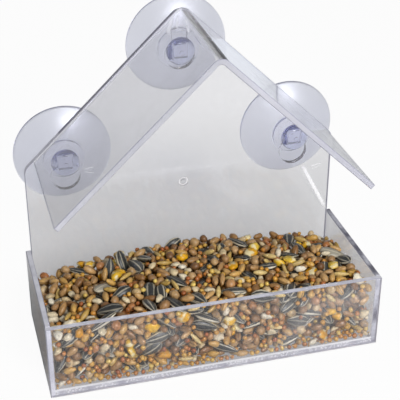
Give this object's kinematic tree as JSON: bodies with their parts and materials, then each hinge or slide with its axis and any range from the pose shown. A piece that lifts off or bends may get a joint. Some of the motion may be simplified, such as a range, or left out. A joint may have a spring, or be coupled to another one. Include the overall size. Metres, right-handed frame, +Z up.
{
  "type": "window bird feeder",
  "caption": "Clear house-shaped window bird feeder with a folded roof, a glued tray of mixed seed, and soft suction cups that slide in keyholes to hang it on a pane.",
  "frame": {"origin": "centre of the tray's underside", "axes": "+Z up, +Y towards the window pane, +X to the right seen from in front of the tray"},
  "size_m": [0.157, 0.0765, 0.1543],
  "materials": {
    "clear_sheet": "clear, polished, faintly grey",
    "soft_cup": "clear soft plastic with a faint violet tint",
    "seed": "dry mixed seed"
  },
  "bodies": {
    "feeder": {"back_panel": "clear_sheet", "roof": "clear_sheet", "tray_floor": "clear_sheet", "tray_left_wall": "clear_sheet", "tray_right_wall": "clear_sheet", "tray_front_panel": "clear_sheet", "seed_mix": "seed"},
    "left_cup": {"suction_cup_left": "soft_cup"},
    "right_cup": {"suction_cup_right": "soft_cup"},
    "top_cup": {"suction_cup_top": "soft_cup"}
  },
  "joints": [
    {"name": "left_cup_slide", "type": "slide", "parent": "feeder", "child": "left_cup", "axis": [0, 0, 1], "range_m": [-0.01, 0]},
    {"name": "right_cup_slide", "type": "slide", "parent": "feeder", "child": "right_cup", "axis": [0, 0, 1], "range_m": [-0.01, 0]},
    {"name": "top_cup_slide", "type": "slide", "parent": "feeder", "child": "top_cup", "axis": [0, 0, 1], "range_m": [-0.0046, 0.0054]}
  ]
}
